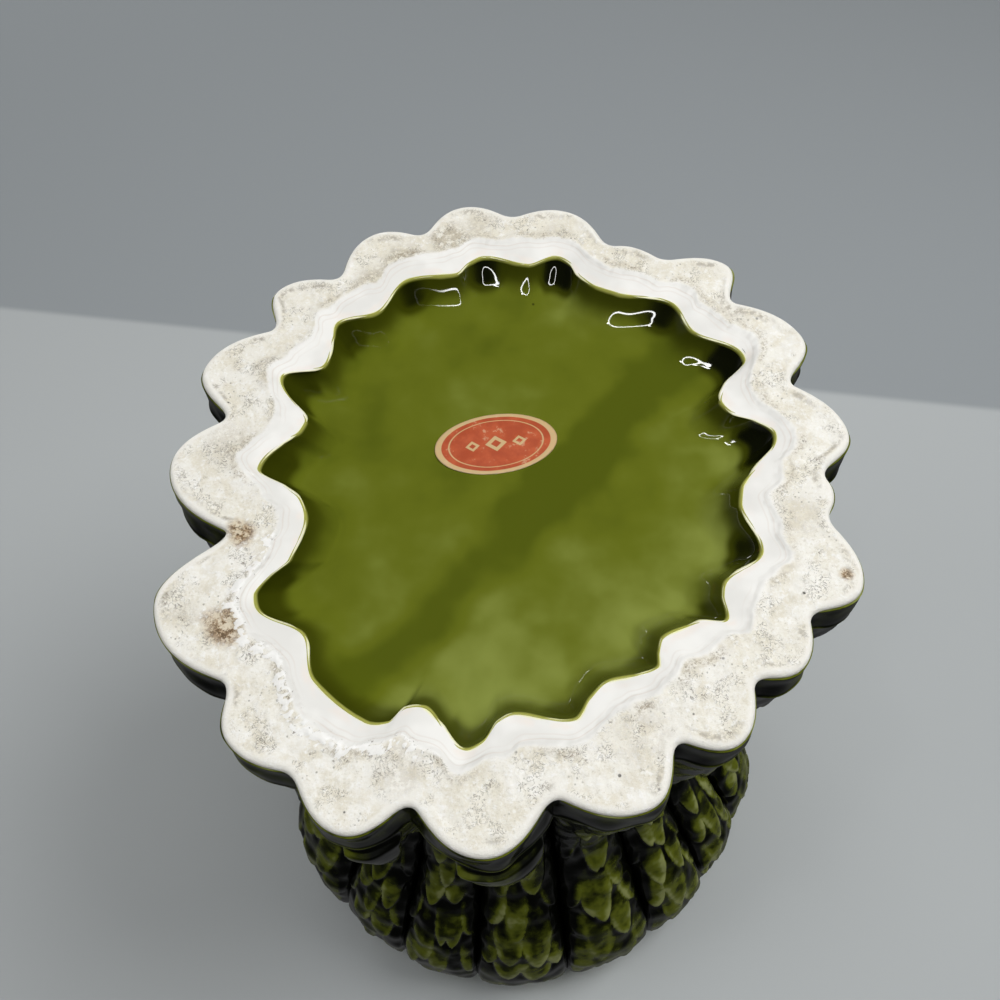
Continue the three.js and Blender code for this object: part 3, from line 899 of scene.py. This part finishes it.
class VASE_OT_recess(bpy.types.Operator):
    """Glazed recess: a lip at the glaze line, a lobed wall, a rounded corner and the floor."""

    bl_idname = "vase.recess"
    bl_label = "Recess and floor"

    def execute(self, context):
        floor = context.scene.vase_sizes.floor_height / MM
        angle = np.linspace(0, 360, RECESS_POINTS, endpoint=False)
        turn = np.radians(angle)
        glaze = wave(GLAZE_LINE, angle)
        pocket = smooth(glaze - averaged(GLAZE_LINE, angle, LOBE_SPREAD), -0.8, 2.2)
        rise = floor - RECESS_START
        rows, pools, glows, lines = [], [], [], []

        def add(radius, height, pool, line, glow=0.0):
            rows.append(polar(radius, turn, height))
            pools.append(np.broadcast_to(pool, radius.shape))
            glows.append(np.broadcast_to(glow, radius.shape))
            lines.append(np.broadcast_to(line, radius.shape))

        inner = mix(FLOOR_RADIUS_MEAN, glaze, 0.75) - RECESS_REACH
        for share in np.linspace(0.02, 1, 26):
            radius = inner * share
            waves = uneven(FLOOR_WAVES, radius * np.cos(turn), radius * np.sin(turn))
            height = floor + 0.1 * smooth(share, 0.02, 0.3) * waves
            away = glaze - radius
            glow = pocket * smooth(away, 5, 8) * (1 - smooth(away, 10, 15))
            add(radius, height, 0.0, away, glow)
        edge_radius = rows[-1][:, 0] / np.cos(turn)
        edge_height = rows[-1][:, 2]
        for inset in np.linspace(RECESS_REACH, 0, 42)[1:]:
            share = inset / RECESS_REACH
            radius = mix(glaze, edge_radius + RECESS_REACH, smooth(share, 0.36, 1)) - inset
            level = -rise * max(1 - inset / RECESS_CURVE, 0) ** RECESS_POWER
            height = mix(floor, edge_height, smooth(share, 0.6, 1)) + level
            dent = smooth(inset, 1.0, 3.0) * (1 - smooth(inset, 5, 8))
            height = height - LOBE_DEPTH * pocket * dent
            pool_end = 0.6 + 2.6 * pocket
            pool = smooth(inset, 0.1, 0.45) * (1 - smooth(inset, pool_end, pool_end + 3.6))
            far = 0.42 + 0.58 * smooth(radius * np.sin(turn), -38, -8)
            far = far * (1 - 0.3 * smooth(radius * np.cos(turn), 8, 40))
            glow = pocket * smooth(inset, 5, 8)
            add(radius, height, pool * far * (0.5 + 0.5 * pocket), inset, glow)
        level = np.ones(glaze.shape)
        for out, height in LIP_ROWS:
            add(glaze + out, level * height, 0.0, 0.0)
        top_edge = backing(*foot_place(angle), 0.0) - 0.5
        add(top_edge, level * FLOOR_SIDE_TOP, 0.0, 0.0)
        add(top_edge, level * (FLOOR_TOP - 0.05), 0.0, 20.0)
        for share in np.linspace(1, 0.02, 16)[1:]:
            add(top_edge * share, level * FLOOR_TOP, 0.0, 20.0)
        poles = ((0, 0, floor), (0, 0, FLOOR_TOP))
        attributes = {
            "pool": np.array(pools), "glow": np.array(glows), "from_line": np.array(lines),
        }
        piece = closed_mesh("recess_floor", np.array(rows), poles, attributes=attributes)
        fit(piece, recess_finish(context.scene.vase_colours), "green_glaze", "vessel_floor")
        return {"FINISHED"}


class VASE_OT_wall(bpy.types.Operator):
    """Inner wall: a waisted, softly fluted tube with a rolled lip round the mouth."""

    bl_idname = "vase.wall"
    bl_label = "Inner wall"

    def execute(self, context):
        columns = 24
        lip = WALL_TOP - 1.5
        spear = np.repeat(np.arange(TOTAL), columns)
        across = np.tile(np.arange(columns) / columns, TOTAL)
        rows = []
        heights = np.concatenate([[FLOOR_TOP - 0.4], np.linspace(12, lip, 70)])
        for height in heights:
            radius = backing(spear, across, height)
            rows.append(polar(radius, angle_at(spear, across, height), height))
        middle = backing(spear, across, lip) - WALL_THICKNESS / 2
        for t in np.linspace(0, math.pi, 11)[1:-1]:
            radius = middle + WALL_THICKNESS / 2 * math.cos(t)
            rows.append(polar(radius, angle_at(spear, across, lip), lip + 2.2 * math.sin(t)))
        for height in heights[::-1]:
            flute = 1.1 * (0.5 - bulge(spear, across, height)) * smooth(height, 15, 40)
            flute = flute * (1 - smooth(height, WALL_TOP - 12, lip))
            fillet = 7 * (1 - smooth(height, FLOOR_TOP - 3, FLOOR_TOP + 12)) ** 1.5
            radius = backing(spear, across, height) - WALL_THICKNESS - flute * 0.5 - fillet
            rows.append(polar(radius, angle_at(spear, across, height), height))
        wall = closed_mesh("inner_wall", np.array(rows), wrap_rows=True)
        fit(wall, inside_finish(context.scene.vase_colours), "green_glaze", "vessel_wall")
        return {"FINISHED"}


def scale_relief(x, z, scales):
    """Height of overlapping leaf scales, nearness to the free edge and share of the length.

    Each scale rises from its base to its rounded free end. Its half width at a share b of its
    length is sqrt(1 - b ^ bluntness), and the tallest scale at a place shows.
    """
    relief = np.zeros(np.broadcast(x, z).shape)
    edge = np.zeros(relief.shape)
    share = np.full(relief.shape, 0.5)
    for centre, base, half_width, length, lift, bluntness in scales:
        b = (z - base) / length
        a = (x - centre) / half_width
        inside = (b > 0) & (b < 1)
        safe = np.clip(b, 0, 1)
        outline = np.sqrt(1 - safe**bluntness) * (0.8 + 0.2 * np.sin(math.pi * safe))
        rim = outline - abs(a)
        crown = 1 - 0.3 * np.clip(abs(a), 0, 1) ** 2 + 0.08 * (1 - np.clip(abs(a) * 3, 0, 1))
        height = lift * (0.12 + 0.88 * safe**1.2) * smooth(rim, 0, 0.2) * crown
        height = np.where(inside, height, 0)
        tallest = height > relief
        near_rim = (1 - smooth(rim, 0.12, 0.6)) * smooth(safe, 0.25, 0.6)
        edge = np.where(tallest, near_rim, edge)
        share = np.where(tallest, safe, share)
        relief = np.where(tallest, height, relief)
    return relief, edge, share


def scales_of(spear, sizes, random):
    """Scales of one spear: a few bracts up the stalk, then staggered tiers on the tip."""
    scales = list(EXTRA_BRACTS.get(spear, ()))
    lift = sizes.bract_lift / MM
    side = random.choice([-1, 1])
    for base in BRACT_BASES:
        base = base + random.uniform(-2.5, 3.5)
        centre = side * random.uniform(1.2, 3.6)
        half_width = random.uniform(4.8, 6.2)
        length = random.uniform(20, 26)
        scales.append((centre, base, half_width, length, lift, random.uniform(2.0, 3.0)))
        side = -side
    lift = sizes.scale_lift / MM
    width = 2 * math.pi * TIP_CREST_RADIUS / TOTAL
    first = FIRST_TIER + random.uniform(-3, 3)
    for tier in range(SCALE_TIERS):
        for column in SCALE_COLUMNS[(tier + spear) % 2]:
            size = random.uniform(0.85, 1.2)
            scales.append((
                column * width + random.uniform(-1.8, 1.8),
                first + tier * SCALE_PITCH + random.uniform(-4.5, 4.5),
                SCALE_HALF_WIDTH * width * random.uniform(0.75, 1.25), SCALE_LENGTH * size,
                lift * random.uniform(0.7, 1.2), random.uniform(4.5, 9),
            ))
    return scales


def blurred(field, reach):
    """Box average over neighbouring rows and columns, edges held."""
    for axis in (0, 1):
        pad = [(reach, reach) if one == axis else (0, 0) for one in (0, 1)]
        total = np.cumsum(np.pad(field, pad, mode="edge"), axis=axis)
        total = np.insert(total, 0, 0, axis=axis)
        width = 2 * reach + 1
        high = np.take(total, np.arange(width, total.shape[axis]), axis=axis)
        low = np.take(total, np.arange(total.shape[axis] - width), axis=axis)
        field = (high - low) / width
    return field


def spear_grid(spear, sizes):
    """Rows of points up one spear, and its glaze thickness, with painted shade and a painted
    highlight mixed in, and its veins.

    A row runs across the round outer side and back along the wall. Above the shoulder it
    shrinks towards the tip's centre by (1 - t ^ a) ^ b, t being the share of the tip's height.
    """
    random = np.random.default_rng(SCALE_SEED + spear)
    shaft = np.concatenate([
        np.linspace(GLAZE_START, 7.4, 12), np.linspace(7.7, 9.5, 10), np.linspace(9.9, 24, 25),
        np.linspace(24, 100, 84)[1:], np.linspace(100, TIP_START, 132)[1:],
    ])
    tip = TIP_START + (HEIGHT - 0.6 - TIP_START) * np.sin(np.linspace(0, math.pi / 2, 40)[1:])
    heights = np.concatenate([shaft, tip])[:, None]
    outer, back = 76, 14
    across = (0.5 - 0.5 * np.cos(np.linspace(0, math.pi, outer)))[None, :]
    across = mix(across, np.linspace(0, 1, outer)[None, :], 0.55)
    level = np.minimum(heights, WALL_TOP)
    radius = outside(spear, across, level)
    overlap = OVERLAP * (2 * across - 1) / radius
    angle = angle_at(spear, across, level) + overlap
    front = polar(radius, angle, heights)

    width = np.radians(SPAN[spear]) * 60
    local = (across - 0.5) * 1.2 * mix(width, 2 * math.pi * 68 / TOTAL, smooth(heights, 0, 100))
    scales = scales_of(spear, sizes, random)
    relief, edge, share = scale_relief(local, heights, scales)
    hold = smooth(across, 0.0, 0.07) * smooth(1 - across, 0.0, 0.07)
    relief = relief * hold * smooth(heights, BUTT_TOP + 0.6, BUTT_TOP + 3)
    relief = relief * mix(1, 0.7, smooth(heights, 110, 165))

    along_row = np.gradient(front, axis=1)
    along_column = np.gradient(front, axis=0)
    normal = np.cross(along_row, along_column)
    normal /= np.maximum(np.linalg.norm(normal, axis=2, keepdims=True), 1e-9)
    lumps = 0.16 * ripple(*np.moveaxis(front, -1, 0), 7.0, LUMP_SEED + spear)
    lumps = lumps * hold * smooth(heights, 2, 5)
    knee = np.exp(-(((heights - BUTT_TOP) / 0.45) ** 2))
    front = front + normal * (relief + lumps + 0.2 * knee)[..., None]

    rear = np.linspace(1, 0, back + 2)[None, 1:-1]
    rear_radius = backing(spear, rear, level) - OVERLAP
    rear_angle = angle_at(spear, rear, level)
    behind = polar(rear_radius, rear_angle, heights)
    grid = np.concatenate([front, behind], axis=1)

    t = np.clip((heights - TIP_START) / (HEIGHT - TIP_START), 0, 1)
    power, fullness = TIP_FULLNESS
    size = np.maximum((1 - t**power) ** fullness, TIP_LIMIT)[..., None]
    centre_angle = angle_at(spear, 0.5, HEIGHT)
    centre = polar(float(TIP_CENTRE_RADIUS), centre_angle, heights)
    shrunk = centre + (grid - centre) * size
    shrunk[..., 2] = grid[..., 2]
    grid = shrunk

    edge, share = blurred(edge, 2), blurred(share, 2)
    # Darker towards each scale's base and in the hollows beside the raised ends: glaze pooled
    # there, and painted shade under the overlapping ends.
    raised = relief - blurred(relief, 5)
    thickness_and_painted_light = mix(0.66, 0.3, smooth(share, 0.25, 0.8)) + 0.5 * smooth(-raised, 0.02, 0.25)
    thickness_and_painted_light = thickness_and_painted_light - 0.5 * edge * smooth(relief, 0.15, 0.4)
    gully = mix(0.42, 0.05, smooth(heights, 92, 172))
    valley = 1 - smooth(np.minimum(across, 1 - across), gully * 0.35, gully)
    stalk = smooth(heights, 14, 34) * (1 - smooth(heights, 84, 104))
    thickness_and_painted_light = thickness_and_painted_light + 0.9 * valley * smooth(heights, 4, 16) - 0.2 * stalk
    # Darker near the foot: thicker glaze there, and painted shade under the foot ring.
    foot_pool_and_shade = 1 - smooth(heights, BUTT_TOP - 0.5, BUTT_TOP + 2)
    thickness_and_painted_light = thickness_and_painted_light + 0.18 * foot_pool_and_shade - 0.5 * (1 - smooth(heights, GLAZE_START, GLAZE_START + 0.7))
    # Lighter along the knee: thin glaze on its sharp edge, and a painted highlight.
    thickness_and_painted_light = thickness_and_painted_light - 0.5 * knee
    sway = 2.2 * ripple(local, heights * 0.2, 0, 3.0, VEIN_SEED + spear)
    veins = 0.5 + 0.5 * np.sin(local * 7 + sway)
    edge_values = np.full((len(heights), back), 0.6)
    thickness = np.concatenate([thickness_and_painted_light, edge_values], axis=1)
    veins = np.concatenate([veins * smooth(heights, 20, 40), edge_values * 0], axis=1)
    bottom = grid[0].mean(axis=0)
    top = grid[-1].mean(axis=0) + np.array([0, 0, 0.25])
    return grid, (bottom, top), {"thickness": thickness, "veins": veins}


class VASE_OT_spears(bpy.types.Operator):
    """Nineteen spears, each a closed round-sided stalk with bracts and a scaly tip."""

    bl_idname = "vase.spears"
    bl_label = "Spears"

    def execute(self, context):
        finish = spear_finish(context.scene.vase_colours)
        for spear in range(TOTAL):
            grid, poles, attributes = spear_grid(spear, context.scene.vase_sizes)
            number = f"{spear + 1:02d}"
            piece = closed_mesh(f"spear_glazed_{number}", grid, poles, attributes=attributes)
            fit(piece, finish, "green_glaze", f"spear_{number}")
        return {"FINISHED"}


class VASE_OT_label(bpy.types.Operator):
    """Oval paper label stuck to the underside of the floor."""

    bl_idname = "vase.label"
    bl_label = "Label"

    def execute(self, context):
        sizes = context.scene.vase_sizes
        floor = sizes.floor_height / MM
        angle = np.linspace(0, 2 * math.pi, 128, endpoint=False)
        turn = math.radians(LABEL_TURN)
        rows = []
        faces = [(s, floor - 0.16) for s in np.linspace(0.05, 0.985, 22)]
        faces += [(1.0, floor - 0.12), (1.0, floor), (0.6, floor + 0.1), (0.05, floor + 0.1)]
        for share, height in faces:
            along = share * sizes.label_length / MM / 2 * np.cos(angle)
            over = share * sizes.label_width / MM / 2 * np.sin(angle)
            x = LABEL_CENTRE[0] + along * math.cos(turn) - over * math.sin(turn)
            y = LABEL_CENTRE[1] + along * math.sin(turn) + over * math.cos(turn)
            lift = uneven(LABEL_WAVES, x, y) * share
            rows.append(np.stack([x, y, height + lift], -1))
        poles = ((*LABEL_CENTRE, floor - 0.16), (*LABEL_CENTRE, floor + 0.1))
        label = closed_mesh("oval_label", np.array(rows), poles)
        fit(label, label_finish(sizes, context.scene.vase_colours), "label_paper", "label")
        return {"FINISHED"}


def plane(name, height, half, facing, material):
    """Square stage surface at a height, facing up (1) or down (-1)."""
    corners = np.array([(-1, -1), (1, -1), (1, 1), (-1, 1)], float)[::facing] * half
    points = np.column_stack([corners, np.full(4, height)]) * MM
    mesh = bpy.data.meshes.new(name)
    mesh.from_pydata(points.tolist(), [], [(0, 1, 2, 3)])
    mesh.materials.append(material)
    made = bpy.data.objects.new(name, mesh)
    bpy.context.scene.collection.objects.link(made)
    for ray in ("diffuse", "glossy", "transmission", "shadow"):
        setattr(made, f"visible_{ray}", False)


def lamp(name, place, target, size, power, glossy):
    """Soft round lamp aimed from one place to another, in millimetres, mirrored in glaze or not."""
    data = bpy.data.lights.new(name, "AREA")
    data.shape = "DISK"
    data.size = size * MM
    data.energy = power
    made = bpy.data.objects.new(name, data)
    made.visible_glossy = glossy
    bpy.context.scene.collection.objects.link(made)
    axis = (np.array(place, float) - np.array(target, float)) * MM
    back = axis / np.linalg.norm(axis)
    side = np.cross((0.0, 0.0, 1.0), back)
    side /= np.linalg.norm(side)
    up = np.cross(back, side)
    columns = np.column_stack([side, up, back])
    matrix = np.eye(4)
    matrix[:3, :3] = columns
    matrix[:3, 3] = np.array(place) * MM
    made.matrix_world = Matrix(matrix.tolist())


def camera_axes():
    """The picture's directions in the frame: to its right, up it, and out of it to the eye."""
    pitch, roll = math.radians(CAMERA_PITCH), math.radians(CAMERA_ROLL)
    forward = np.array([0, math.cos(pitch), math.sin(pitch)])
    right = np.array([-1.0, 0, 0])
    down = np.array([0, -math.sin(pitch), math.cos(pitch)])
    across = math.cos(roll) * right + math.sin(roll) * down
    lower = -math.sin(roll) * right + math.cos(roll) * down
    return np.column_stack([across, -lower, -forward])


def ring_lamp():
    """Ring lamp round the camera: a torus, whose rings of points are carried round a circle."""
    turn = np.linspace(0, 2 * math.pi, 96, endpoint=False)[:, None, None]
    roll = np.linspace(0, 2 * math.pi, 12, endpoint=False)[None, :, None]
    across, upward, back = camera_axes().T
    outward = np.cos(turn) * across + np.sin(turn) * upward
    centre = np.array(CAMERA_PLACE) + back * RING_LAMP_BACK
    tube = np.cos(roll) * outward + np.sin(roll) * back
    grid = centre + outward * RING_LAMP_RADIUS + tube * RING_LAMP_TUBE
    lit = closed_mesh("ring_lamp", grid, wrap_rows=True)
    tree = Tree("ring_lamp_light")
    settings = {"Color": (1.0, 1.0, 1.0, 1.0), "Strength": RING_LAMP_STRENGTH}
    tree.finish(tree.node("ShaderNodeEmission", {}, settings))
    lit.data.materials.append(tree.material)
    for ray in ("camera", "diffuse", "transmission", "shadow"):
        setattr(lit, f"visible_{ray}", False)


class VASE_OT_stage(bpy.types.Operator):
    """Table, floor, soft light and the camera under the foot."""

    bl_idname = "vase.stage"
    bl_label = "Stage"

    def execute(self, context):
        scene = context.scene
        colours = scene.vase_colours
        table = one_sided("table_matt", colours.table, colours.backdrop)
        plane("table", TABLE_HEIGHT, STAGE_HALF, -1, table)
        plane("floor", 0.0, STAGE_HALF, 1, one_sided("floor_matt", colours.table))

        for one in LAMPS:
            lamp(*one)
        ring_lamp()

        world = bpy.data.worlds.new("soft_room")
        world.use_nodes = True
        tree = Tree("soft_room", world)
        height = tree.node("ShaderNodeTexCoord", {}, {}, "Generated").split("Z")
        mirrored = tree.node("ShaderNodeLightPath", {}, {}, "Is Glossy Ray")
        gloss = 0.02 + height.step(0.55, 0.95) * 0.07 + height.band(-0.05, 0.22) * 0.12
        strength = (0.08 + height.step(0.0, 0.6) * 0.08) * (1.0 - mirrored) + gloss * mirrored
        seen = tree.node("ShaderNodeLightPath", {}, {}, "Is Camera Ray")
        strength = strength * (1.0 - seen) + seen * BACKGROUND_STRENGTH
        air = {"Color": (0.97, 0.99, 1.0, 1.0), "Strength": strength}
        tree.finish(tree.node("ShaderNodeBackground", {}, air))
        scene.world = world
        scene.view_settings.view_transform = "Standard"

        matrix = np.eye(4)
        matrix[:3, :3] = camera_axes()
        matrix[:3, 3] = np.array(CAMERA_PLACE) * MM
        data = bpy.data.cameras.new("camera")
        data.sensor_width = 36
        data.lens = 36
        data.clip_start = 0.005
        camera = bpy.data.objects.new("camera", data)
        scene.collection.objects.link(camera)
        camera.matrix_world = Matrix(matrix.tolist())
        scene.camera = camera
        return {"FINISHED"}


class VASE_PT_panel(bpy.types.Panel):
    """Sizes, colours and the steps that make the vase."""

    bl_idname = "VASE_PT_panel"
    bl_label = "Asparagus Vase"
    bl_space_type = "VIEW_3D"
    bl_region_type = "UI"
    bl_category = "Vase"

    def draw(self, context):
        for group in (context.scene.vase_sizes, context.scene.vase_colours):
            for name in group.__annotations__:
                self.layout.prop(group, name)
        for operator in STEPS:
            self.layout.operator(operator.bl_idname)


STEPS = (
    VASE_OT_foot_ring, VASE_OT_recess, VASE_OT_wall, VASE_OT_spears, VASE_OT_label, VASE_OT_stage,
)
CLASSES = (VaseSizes, VaseColours, *STEPS, VASE_PT_panel)


def register():
    for one in CLASSES:
        bpy.utils.register_class(one)
    bpy.types.Scene.vase_sizes = bpy.props.PointerProperty(type=VaseSizes)
    bpy.types.Scene.vase_colours = bpy.props.PointerProperty(type=VaseColours)


def unregister():
    del bpy.types.Scene.vase_colours
    del bpy.types.Scene.vase_sizes
    for one in reversed(CLASSES):
        bpy.utils.unregister_class(one)


def main():
    register()
    bpy.ops.vase.foot_ring()
    bpy.ops.vase.recess()
    bpy.ops.vase.wall()
    bpy.ops.vase.spears()
    bpy.ops.vase.label()
    bpy.ops.vase.stage()


if __name__ == "__main__":
    main()
